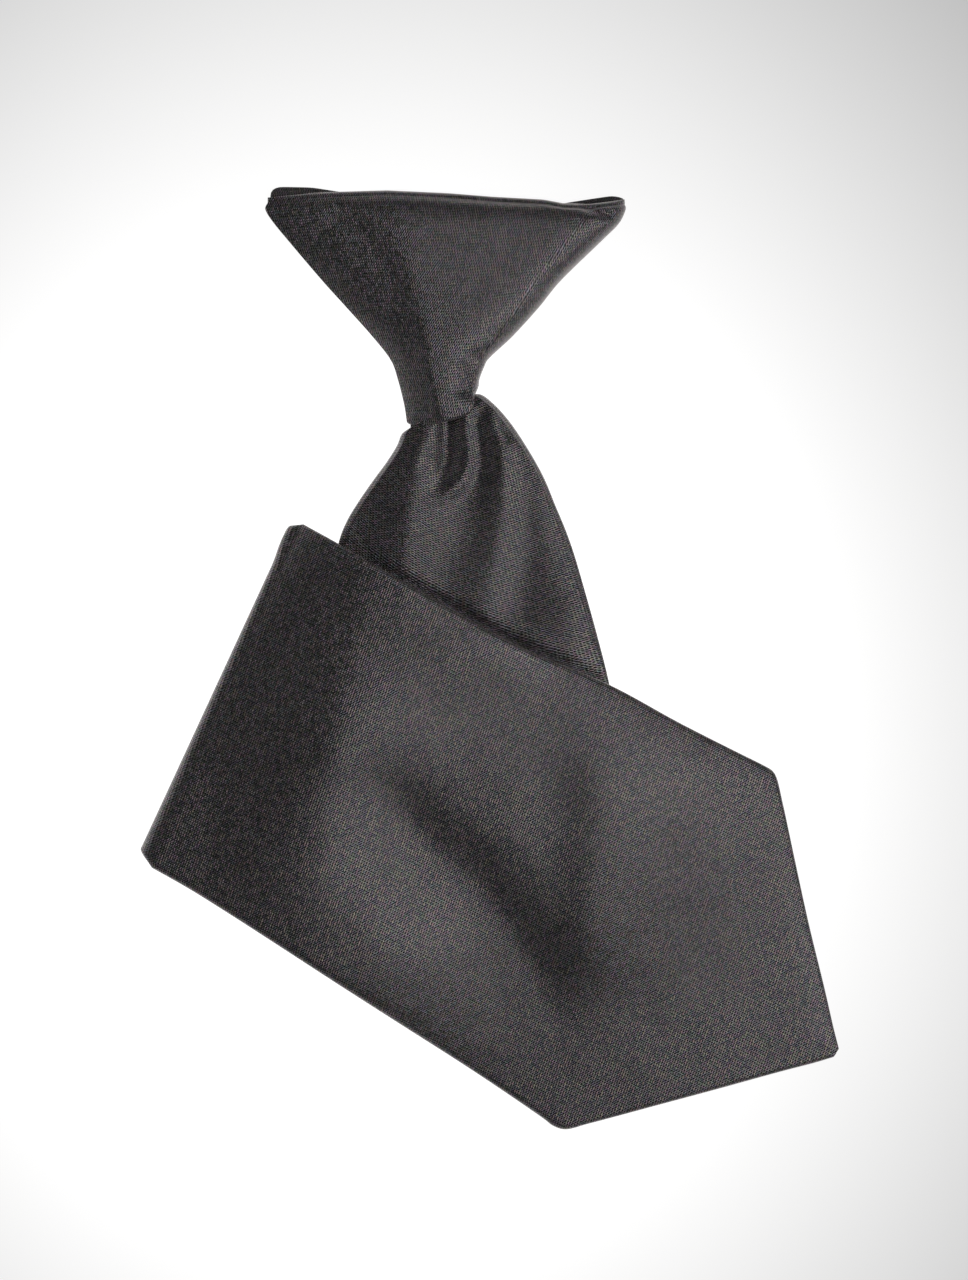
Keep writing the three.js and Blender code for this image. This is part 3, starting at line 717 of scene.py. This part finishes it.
def knot_plan(place, f, front):
    """The knot's points from above, drawn to the mouth's line at one end and the top edge's at the other."""
    row = knot_row(place)
    bow = 1 - (2 * f - 1) ** 2
    p = row[0:2] + (row[2:4] - row[0:2]) * f[:, None]
    p[:, 1] -= np.where(front, 1.0, BACK_SAG) * row[4] * bow
    near_mouth = 1 - smoothstep(place, 0, MOUTH_ROWS)
    if near_mouth > 0:
        shift = along_line(MOUTH_EDGE, f) - chord(np.array(KNOT_ROWS[0]), f, bow)
        p += np.where(front, 1.0, 0.0)[:, None] * shift * near_mouth * (bow**0.5)[:, None]
    last = len(KNOT_ROWS) - 1
    near_top = smoothstep(place, last - TOP_EDGE_ROWS, last)
    if near_top > 0:
        end = chord(np.array(KNOT_ROWS[-1]), f, bow)
        line = np.array(TOP_EDGE)
        wanted = np.interp(end[:, 0], line[:, 0], line[:, 1])
        p[:, 1] += near_top * (wanted - RIM_REACH * RIM_INSIDE - end[:, 1])
    return p


def knot_swell(place, f, fullness):
    """How far the front rises from the side's height, 0 to 1: full and round, with a flatter left half."""
    swell = np.sqrt(np.clip(1 - np.abs(2 * f - 1) ** fullness, 0, 1))
    level = lerp(*LEFT_FLAT, place / (len(KNOT_ROWS) - 1))
    slope = np.clip((1 - level - 2 * f) / (1 - level), 0, 1)
    shoulder, side = LEFT_SLOPE
    return np.where(f < 0.5, (1 - slope**shoulder) ** side, swell)


def knot_ring(place, hollow, squeeze=0.0):
    """One ring: across the front from left to right, home across the back. squeeze rounds the top edge."""
    row = knot_row(place)
    back, side, front_z, fullness = row[5:]
    inset = KNOT_MARGIN * KNOT_WALL / np.linalg.norm(row[2:4] - row[0:2]) if hollow else 0.0
    even = np.arange(KNOT_ACROSS) / KNOT_ACROSS
    spread = 0.5 - 0.5 * np.cos(math.pi * even)
    f = np.concatenate([lerp(inset, 1 - inset, spread), lerp(inset, 1 - inset, 1 - spread)])
    front = np.arange(2 * KNOT_ACROSS) < KNOT_ACROSS
    p = knot_plan(place, f, front)
    swell = knot_swell(place, f, fullness)
    wall = KNOT_WALL if hollow else 0.0
    fade = 1 - smoothstep(squeeze, 0, 1)
    top = side + (front_z - side) * swell + relief(p[:, 0], p[:, 1], KNOT_FOLDS) * swell * fade - wall
    bottom = side - (side - back) * np.sqrt(swell) + wall
    mid = (top + bottom) / 2
    z = np.where(front, np.maximum(top, mid + LEAST_HOLLOW), np.minimum(bottom, mid - LEAST_HOLLOW))
    if not hollow:
        z = np.where((f <= 0) | (f >= 1), side, z)
    if squeeze > 0:
        angle = squeeze * math.pi / 2
        z = mid + (z - mid) * math.cos(angle)
        p[:, 1] += RIM_REACH * math.sin(angle)
    return np.column_stack([p, z])


def knot_mesh(material):
    last = len(KNOT_ROWS) - 1
    places = np.linspace(0, last, KNOT_ALONG)
    outer = [knot_ring(p, False) for p in places]
    inner = [knot_ring(p, True) for p in places[::INNER_EVERY] if p < last - HOLLOW_STOP]
    rings = inner[::-1]
    along = unit(outer[1] - outer[0])
    for i in range(LIP_STEPS):
        t = (i + 1) / (LIP_STEPS + 1)
        bulge = math.sin(t * math.pi) * KNOT_WALL * LIP_BULGE
        rings.append(lerp(inner[0], outer[0], (1 - math.cos(t * math.pi)) / 2) - along * bulge)
    rings += outer
    rings += [knot_ring(last, False, (i + 1) / RIM_STEPS * RIM_TURN) for i in range(RIM_STEPS)]
    uv = unrolled(np.array(rings), KNOT_ACROSS // 2)
    faces = ring_faces(len(rings), 2 * KNOT_ACROSS, flip=True)
    return mesh_object("knot_satin", np.concatenate(rings), faces, uv, material)


def unrolled(rings, middle):
    """Places on the flat cloth: seen from above, plus the length that slopes hide, from the middle on."""

    def hidden(step):
        return np.linalg.norm(step, axis=-1) - np.linalg.norm(step[..., :2], axis=-1)

    half = rings.shape[1] // 2
    around = np.roll(hidden(np.roll(rings, -1, 1) - rings), half - middle, 1)
    gone = np.cumsum(around, 1) - around
    around = np.roll(gone - gone[:, half:half + 1], middle - half, 1)
    along = np.cumsum(hidden(np.diff(rings, axis=0, prepend=rings[:1])), 0)
    return np.stack([rings[..., 0] + around, rings[..., 1] + along], -1).reshape(-1, 2)


# Facing
FACING_STEPS = 220
FACING_FLAT = (0.3, 0.1)  # rings of its flat faces: how far towards its middle
FACING_EDGE = [
    # how far in, how high as a share of its thickness
    (1.2, 0.02),
    (0.45, 0.12),
    (0.12, 0.3),
    (0.0, 0.5),
    (0.12, 0.7),
    (0.45, 0.88),
    (1.2, 0.98),
]
CURL = 1.6  # how far its top corners lift, from where to where up it, and how far from its middle
CURL_UP = (94, 102)
CURL_MIDDLE = -9
CURL_ASIDE = (12, 36)


def facing_mesh(material):
    """The folded-in cloth behind the wings: a thin slab with a rounded edge and its top corners lifted."""
    outline = smooth_outline(FACING_OUTLINE, FACING_STEPS)
    inward = inward_of(outline)
    flats = [lerp(outline, outline.mean(0), share) for share in FACING_FLAT]
    rings = [(p, 0.0) for p in flats]
    rings += [(outline + inward * reach, height) for reach, height in FACING_EDGE]
    rings += [(p, 1.0) for p in flats[::-1]]
    points = []
    for p, height in rings:
        aside = smoothstep(np.abs(p[:, 0] - CURL_MIDDLE), *CURL_ASIDE)
        curl = CURL * smoothstep(p[:, 1], *CURL_UP) * aside
        points.append(np.column_stack([p, height * FACING_THICK + curl]))
    points = np.concatenate(points)
    faces = ring_faces(len(rings), len(outline))
    return mesh_object("knot_facing", points, faces, points[:, :2], material)


def smooth_outline(corners, count):
    """A closed outline through the corners, as evenly spaced points, with its corners rounded."""
    line = np.array([*corners, corners[0]], float)
    gone = length_along(line)
    p = at_length(line, gone, np.linspace(0, gone[-1], count, endpoint=False))
    for _ in range(2):
        p = (np.roll(p, 1, 0) + 2 * p + np.roll(p, -1, 0)) / 4
    return p


def inward_of(outline):
    tangent = unit(np.roll(outline, -1, 0) - np.roll(outline, 1, 0))
    normal = np.column_stack([-tangent[:, 1], tangent[:, 0]])
    area = np.sum(outline[:, 0] * np.roll(outline[:, 1], -1) - np.roll(outline[:, 0], -1) * outline[:, 1])
    return normal if area > 0 else -normal


# Neck band
BAND_STEPS = 420
BAND_RIBS = 6
STEPS_PER_RIB = 4
ROUTE_SAMPLES = 2000
GROOVE = 0.16  # depth of the grooves between its ribs
BAND_SQUARENESS = 8  # how square its edges are: 2 would be round


def band_mesh(material):
    """The elastic: a ribbed strap along its route, climbing on to the facing at its two ends."""
    fine = smooth_curve(BAND_ROUTE, np.linspace(0, 1, ROUTE_SAMPLES))
    gone = length_along(fine)
    t = np.linspace(0, gone[-1], BAND_STEPS + 1)
    middle = at_length(fine, gone, t)
    tangent = unit(np.gradient(middle, axis=0))
    aside = np.column_stack([tangent[:, 1], -tangent[:, 0]])
    raised = (FACING_THICK + SEAT) * smoothstep(middle[:, 1], *BAND_CLIMB)
    across = np.linspace(-1, 1, STEPS_PER_RIB * BAND_RIBS + 1)
    rib = 0.5 + 0.5 * np.cos(across * BAND_RIBS * math.pi)
    half = BAND_THICK / 2
    edge = np.sqrt(np.clip(1 - np.abs(across) ** BAND_SQUARENESS, 0, 1))
    depth = (half - GROOVE + GROOVE * rib) * edge
    top = np.column_stack([across, half + depth])
    low = np.column_stack([across, half - depth])
    profile = np.concatenate([top, low[-2:0:-1]])
    from_middle = profile[:, :1] * BAND_WIDTH / 2
    points, uv = [], []
    for m, a, up, s in zip(middle, aside, raised, t):
        points.append(np.column_stack([m + a * from_middle, up + profile[:, 1]]))
        uv.append(np.column_stack([np.full(len(profile), s), from_middle]))
    faces = ring_faces(len(middle), len(profile), flip=True)
    return mesh_object("neck_band", np.concatenate(points), faces, np.concatenate(uv), material)


# Materials
WAVES = (
    # the chance's channel that drives a wave, the most that it adds to its strength, and the least strength
    ("Red", 0.9, 0.35),
    ("Green", 0.6, 0.12),
    ("Blue", 1.0, 0.45),
)
CROSS_PHASE = 0.8  # of the wave that runs across both sets of rows
WANDER, WANDER_SCALE = 0.22, 0.9  # how far the rows wander, in millimetres
# What the tone is made of: fuzz and chance, the weave, and soft clouds that it is multiplied by
FUZZ, FUZZ_SCALE = 0.5, 2.6
CHANCE = 0.2
WEAVE_TONE = 0.36
CLOUD, CLOUD_LEAST, CLOUD_SCALE = 0.24, 0.88, 70.0
TINT = 0.3  # how much of the chance's colour the cloth takes
# Bumps: how high the weave and its lumps are, and the soft creases. Depths are in metres
WEAVE_HEIGHT, LUMP_HEIGHT, WEAVE_DEPTH = 0.4, 0.45, 0.000043
CREASE_SCALE, CREASE_STRENGTH, CREASE_DEPTH = 95.0, 0.35, 0.0009
SHEEN_TINT = (1.0, 0.86, 0.8, 1)
PICK, RIB = 0.7, 1.0  # how far apart the elastic's picks and ribs are


def graph(name):
    """A new material, with a function that adds a node and one that adds a math node and gives its result."""
    material = bpy.data.materials.new(name)
    material.use_nodes = True
    nodes, links = material.node_tree.nodes, material.node_tree.links
    nodes.clear()

    def node(kind, inputs=(), **settings):
        made = nodes.new(kind)
        for key, value in settings.items():
            setattr(made, key, value)
        for key, value in dict(inputs).items():
            socket = made.inputs[key]
            if isinstance(value, bpy.types.NodeSocket):
                links.new(value, socket)
            else:
                socket.default_value = value
        return made

    def calc(operation, *values):
        return node("ShaderNodeMath", dict(enumerate(values)), operation=operation).outputs[0]

    return material, node, calc


def mixed(node, factor, a, b, **settings):
    """Two colours mixed. A mix node has its colours at 6 and 7, and its mixed colour at 2."""
    return node("ShaderNodeMix", {0: factor, 6: a, 7: b}, data_type="RGBA", **settings).outputs[2]


def float_rows(node, uv):
    """The two sets of float rows: how many rows along each a point of the cloth is, wandering a little."""
    wobble = node(
        "ShaderNodeTexNoise", {"Vector": uv, "Scale": WANDER_SCALE, "Detail": 2.0}, noise_dimensions="2D"
    )
    middle = (0.5, 0.5, 0.5)
    drift = node("ShaderNodeVectorMath", {0: wobble.outputs["Color"], 1: middle}, operation="SUBTRACT")
    drift = node("ShaderNodeVectorMath", {0: drift.outputs[0], "Scale": WANDER}, operation="SCALE")
    place = node("ShaderNodeVectorMath", {0: uv, 1: drift.outputs[0]}, operation="ADD").outputs[0]
    rows = []
    for period, angle in FLOAT_ROWS:
        across = math.radians(angle + 90)
        k = (math.cos(across) / period, math.sin(across) / period, 0.0)
        rows.append(node("ShaderNodeVectorMath", {0: place, 1: k}, operation="DOT_PRODUCT").outputs["Value"])
    return rows


def satin(name, dark, light, roughness, sheen, gloss):
    """Satin: rows of short floats in the cloth's own coordinates, each lighter or darker than the next."""
    material, node, calc = graph(name)
    uv = node("ShaderNodeUVMap", uv_map="cloth").outputs[0]
    p, q = float_rows(node, uv)
    turn = 2 * math.pi
    phases = (
        calc("MULTIPLY", p, turn),
        calc("MULTIPLY", q, turn),
        calc("MULTIPLY_ADD", calc("ADD", p, q), turn, CROSS_PHASE),
    )
    cell = node("ShaderNodeCombineXYZ", {"X": calc("FLOOR", p), "Y": calc("FLOOR", q)}).outputs[0]
    chance = node("ShaderNodeTexWhiteNoise", {"Vector": cell}, noise_dimensions="2D")
    luck = node("ShaderNodeSeparateColor", {"Color": chance.outputs["Color"]})
    weave = 0.0
    for phase, (channel, varies, least) in zip(phases, WAVES):
        strength = calc("MULTIPLY_ADD", luck.outputs[channel], varies, least)
        weave = calc("MULTIPLY_ADD", calc("SINE", phase), strength, weave)
    fuzz = node(
        "ShaderNodeTexNoise", {"Vector": uv, "Scale": FUZZ_SCALE, "Detail": 1.0}, noise_dimensions="2D"
    )
    lumps = calc("MULTIPLY_ADD", chance.outputs["Value"], CHANCE, calc("MULTIPLY", fuzz.outputs["Fac"], FUZZ))
    tone = calc("MULTIPLY_ADD", weave, WEAVE_TONE, lumps)

    on_object = node("ShaderNodeTexCoord").outputs["Object"]
    cloud = node("ShaderNodeTexNoise", {"Vector": on_object, "Scale": CLOUD_SCALE, "Detail": 3.0})
    tone = calc("MULTIPLY", tone, calc("MULTIPLY_ADD", cloud.outputs["Fac"], CLOUD, CLOUD_LEAST))
    share = node("ShaderNodeMapRange", {"Value": tone, "From Min": 0.0, "From Max": 1.0}).outputs[0]
    colour = mixed(node, share, (*dark, 1), (*light, 1))
    colour = mixed(node, TINT, colour, chance.outputs["Color"], blend_type="MULTIPLY")

    height = calc("MULTIPLY_ADD", weave, WEAVE_HEIGHT, calc("MULTIPLY", lumps, LUMP_HEIGHT))
    weave_bump = node("ShaderNodeBump", {"Strength": 1.0, "Distance": WEAVE_DEPTH, "Height": height})
    crease = node(
        "ShaderNodeTexNoise", {"Vector": on_object, "Scale": CREASE_SCALE, "Detail": 2.0, "Roughness": 0.45}
    )
    crease_bump = node(
        "ShaderNodeBump",
        {
            "Strength": CREASE_STRENGTH,
            "Distance": CREASE_DEPTH,
            "Height": crease.outputs["Fac"],
            "Normal": weave_bump.outputs[0],
        },
    )
    shader = node(
        "ShaderNodeBsdfPrincipled",
        {
            "Base Color": colour,
            "Metallic": gloss,
            "Roughness": roughness,
            "Sheen Weight": sheen,
            "Sheen Roughness": 0.35,
            "Sheen Tint": SHEEN_TINT,
            "Normal": crease_bump.outputs[0],
        },
    )
    node("ShaderNodeOutputMaterial", {"Surface": shader.outputs[0]})
    return material


def elastic_cloth():
    """Woven elastic: ribs along it and picks across, with a little fuzz."""
    material, node, calc = graph("elastic_weave")
    uv = node("ShaderNodeUVMap", uv_map="cloth").outputs[0]
    split = node("ShaderNodeSeparateXYZ", {"Vector": uv})
    picks = calc("SINE", calc("MULTIPLY", split.outputs["X"], 2 * math.pi / PICK))
    ribs = calc("COSINE", calc("MULTIPLY", split.outputs["Y"], 2 * math.pi / RIB))
    fuzz = node("ShaderNodeTexNoise", {"Vector": uv, "Scale": 4.0, "Detail": 2.0}, noise_dimensions="2D")
    tone = calc("MULTIPLY_ADD", picks, 0.2, calc("MULTIPLY_ADD", ribs, 0.2, fuzz.outputs["Fac"]))
    ramp = node("ShaderNodeValToRGB", {"Fac": tone})
    ramp.color_ramp.elements[0].color = (0.006, 0.006, 0.0065, 1)
    ramp.color_ramp.elements[1].color = (0.035, 0.034, 0.036, 1)
    bump = node("ShaderNodeBump", {"Strength": 0.8, "Distance": 0.0001, "Height": tone})
    shader = node(
        "ShaderNodeBsdfPrincipled",
        {"Base Color": ramp.outputs[0], "Roughness": 0.8, "Sheen Weight": 0.2, "Normal": bump.outputs[0]},
    )
    node("ShaderNodeOutputMaterial", {"Surface": shader.outputs[0]})
    return material


SATIN = satin("satin", (0.006, 0.0056, 0.0058), (0.255, 0.235, 0.245), 0.3, 0.4, 0.7)
REVERSE = satin("satin_reverse", (0.006, 0.0056, 0.0058), (0.12, 0.11, 0.115), 0.6, 0.2, 0.3)
ELASTIC = elastic_cloth()


# Pieces
blade = blade_mesh(SATIN)
knot = knot_mesh(SATIN)
facing = facing_mesh(REVERSE)
band = band_mesh(ELASTIC)

for obj, node_name, slot in (
    (blade, "blade", "satin"),
    (knot, "knot_wrap", "satin"),
    (facing, "knot_back", "facing"),
    (band, "neck_elastic", "elastic"),
):
    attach(obj, "root")
    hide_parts(node_name)


# Floor and light, in metres
FLOOR_HALF = 3.0
FLOOR_UNDER = 0.0002  # how far the floor lies below the part
# The table's glow is painted light in the floor's emission, a painted pool of light: brightest below the
# middle and to the left, and falling off towards the corners
GLOW_MOST, GLOW_LEAST = 1.3, 0.3
GLOW_CENTRE = (-0.027, -0.017)
GLOW_REACH = (0.190, 0.220, 1.0)
# The soft light overhead, from its lower left corner
KEY_CORNER = (0.0, -0.62)
KEY_SIZE = (2.0, 1.05)
KEY_HEIGHT = 1.2
KEY_POWER = 13.8
# A dim room over a low, softly lit horizon, which is brighter on the left
SKY, HORIZON_LEFT, HORIZON_RIGHT = 0.05, 0.62, 0.4
HORIZON_HEIGHT = (0.1, 0.75)
HORIZON_ACROSS = (-0.4, 0.6)


def glowing_table():
    material, node, calc = graph("table_painted_glow")
    place = node("ShaderNodeTexCoord").outputs["Object"]
    offset = node("ShaderNodeVectorMath", {0: place, 1: (*GLOW_CENTRE, 0)}, operation="SUBTRACT").outputs[0]
    scaled = node("ShaderNodeVectorMath", {0: offset, 1: GLOW_REACH}, operation="DIVIDE").outputs[0]
    far = node("ShaderNodeVectorMath", {0: scaled, 1: scaled}, operation="DOT_PRODUCT").outputs["Value"]
    # painted light: the floor's emission, a painted pool of light that falls off from the glow's centre
    painted_glow_pool = calc("MULTIPLY", calc("EXPONENT", calc("MULTIPLY", far, -1.0)), GLOW_MOST)
    shader = node(
        "ShaderNodeBsdfPrincipled",
        {
            "Base Color": (0.12, 0.12, 0.12, 1),
            "Roughness": 0.9,
            "Specular IOR Level": 0.0,
            "Emission Color": (1, 0.998, 0.997, 1),
            "Emission Strength": calc("MAXIMUM", painted_glow_pool, GLOW_LEAST),
        },
    )
    node("ShaderNodeOutputMaterial", {"Surface": shader.outputs[0]})
    return material


def make_floor():
    mesh = bpy.data.meshes.new("floor")
    corners = [(x * FLOOR_HALF, y * FLOOR_HALF, 0) for x, y in ((-1, -1), (1, -1), (1, 1), (-1, 1))]
    mesh.from_pydata(corners, [], [(0, 1, 2, 3)])
    mesh.materials.append(glowing_table())
    floor = bpy.data.objects.new("floor", mesh)
    bpy.context.scene.collection.objects.link(floor)
    floor.location.z = -FLOOR_UNDER


def make_key_light():
    light = bpy.data.objects.new("key", bpy.data.lights.new("key", "AREA"))
    light.data.shape = "RECTANGLE"
    light.data.size, light.data.size_y = KEY_SIZE
    light.data.energy = KEY_POWER
    light.location = (KEY_CORNER[0] + KEY_SIZE[0] / 2, KEY_CORNER[1] + KEY_SIZE[1] / 2, KEY_HEIGHT)
    bpy.context.scene.collection.objects.link(light)


def make_world():
    world = bpy.data.worlds.new("world")
    world.use_nodes = True
    nodes, links = world.node_tree.nodes, world.node_tree.links

    def ramp(value, over, start, end):
        made = nodes.new("ShaderNodeMapRange")
        links.new(value, made.inputs["Value"])
        made.inputs["From Min"].default_value, made.inputs["From Max"].default_value = over
        made.inputs["To Min"].default_value = start
        made.inputs["To Max"].default_value = end
        return made

    direction = nodes.new("ShaderNodeTexCoord")
    split = nodes.new("ShaderNodeSeparateXYZ")
    links.new(direction.outputs["Generated"], split.inputs[0])
    horizon = ramp(split.outputs["X"], HORIZON_ACROSS, HORIZON_LEFT, HORIZON_RIGHT)
    fall = ramp(split.outputs["Z"], HORIZON_HEIGHT, HORIZON_LEFT, SKY)
    fall.interpolation_type = "SMOOTHSTEP"
    links.new(horizon.outputs[0], fall.inputs["To Min"])
    links.new(fall.outputs[0], nodes["Background"].inputs["Strength"])
    nodes["Background"].inputs["Color"].default_value = (1, 1, 1, 1)
    bpy.context.scene.world = world


make_floor()
make_key_light()
make_world()
bpy.context.scene.view_settings.view_transform = "Standard"
bpy.context.scene.view_settings.look = "None"
